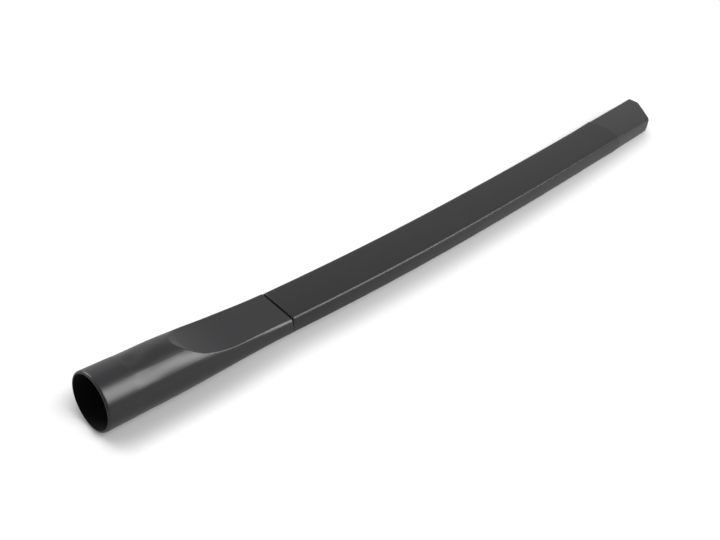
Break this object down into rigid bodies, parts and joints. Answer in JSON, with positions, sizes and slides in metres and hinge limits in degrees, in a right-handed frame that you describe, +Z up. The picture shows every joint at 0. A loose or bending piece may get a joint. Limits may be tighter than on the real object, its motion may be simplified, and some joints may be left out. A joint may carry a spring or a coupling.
{
  "type": "vacuum crevice tool",
  "caption": "Long flat flexible crevice tool with a round push-on socket, a soft bent duct and a hard slanted tip.",
  "frame": {"origin": "centre of the socket's mouth, on the bore's axis", "axes": "+X along the bore from the mouth towards the tip, +Z up, +Y to the left, the side that the duct bends to"},
  "size_m": [0.5811, 0.071, 0.0383],
  "materials": {
    "hard_plastic": "fine grained matt",
    "soft_plastic": "smooth satin",
    "tip_plastic": "fine grained matt"
  },
  "bodies": {
    "root": {"connector": "hard_plastic", "flexible_duct": "soft_plastic", "tip": "tip_plastic"}
  },
  "joints": []
}
